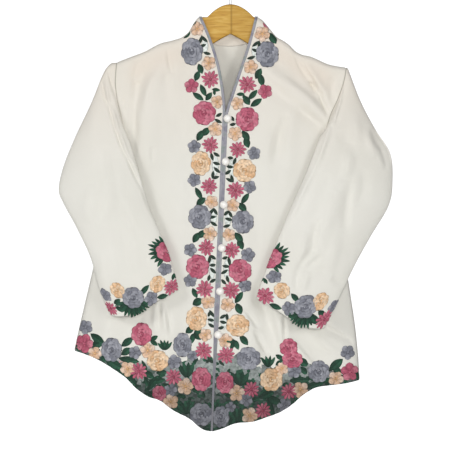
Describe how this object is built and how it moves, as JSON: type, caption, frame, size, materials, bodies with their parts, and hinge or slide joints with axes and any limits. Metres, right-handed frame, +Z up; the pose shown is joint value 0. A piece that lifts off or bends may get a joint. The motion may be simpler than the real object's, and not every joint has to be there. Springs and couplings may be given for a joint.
{
  "type": "kebaya blouse on a hanger",
  "caption": "Long-sleeved kebaya blouse with a V neck, button front and pointed embroidered hem, hanging on a wooden hanger.",
  "frame": {"origin": "top of the hook's inside, where it rests on the rail", "axes": "+Z up, the blouse's front faces -Y, the wearer's left is +X"},
  "size_m": [0.6002, 0.1014, 0.8475],
  "materials": {
    "voile": "fine plain-woven white cotton with coloured machine embroidery",
    "binding": "grey-lavender satin-stitched edging",
    "button": "pearl white, domed",
    "wood": "clear-lacquered golden beech",
    "steel": "plated wire"
  },
  "bodies": {
    "root": {"front_right": "voile", "front_left": "voile", "back": "voile", "sleeve_right_front_upper": "voile", "sleeve_right_front_elbow": "voile", "sleeve_right_front_cuff": "voile", "sleeve_right_back_upper": "voile", "sleeve_right_back_elbow": "voile", "sleeve_right_back_cuff": "voile", "sleeve_left_front_upper": "voile", "sleeve_left_front_elbow": "voile", "sleeve_left_front_cuff": "voile", "sleeve_left_back_upper": "voile", "sleeve_left_back_elbow": "voile", "sleeve_left_back_cuff": "voile", "back_neck_facing": "voile", "binding_right": "binding", "binding_left": "binding", "binding_back_neck": "binding", "button_1": "button", "button_2": "button", "button_3": "button", "button_4": "button", "button_5": "button", "button_6": "button", "hanger": "wood", "hook": "steel"}
  },
  "joints": []
}
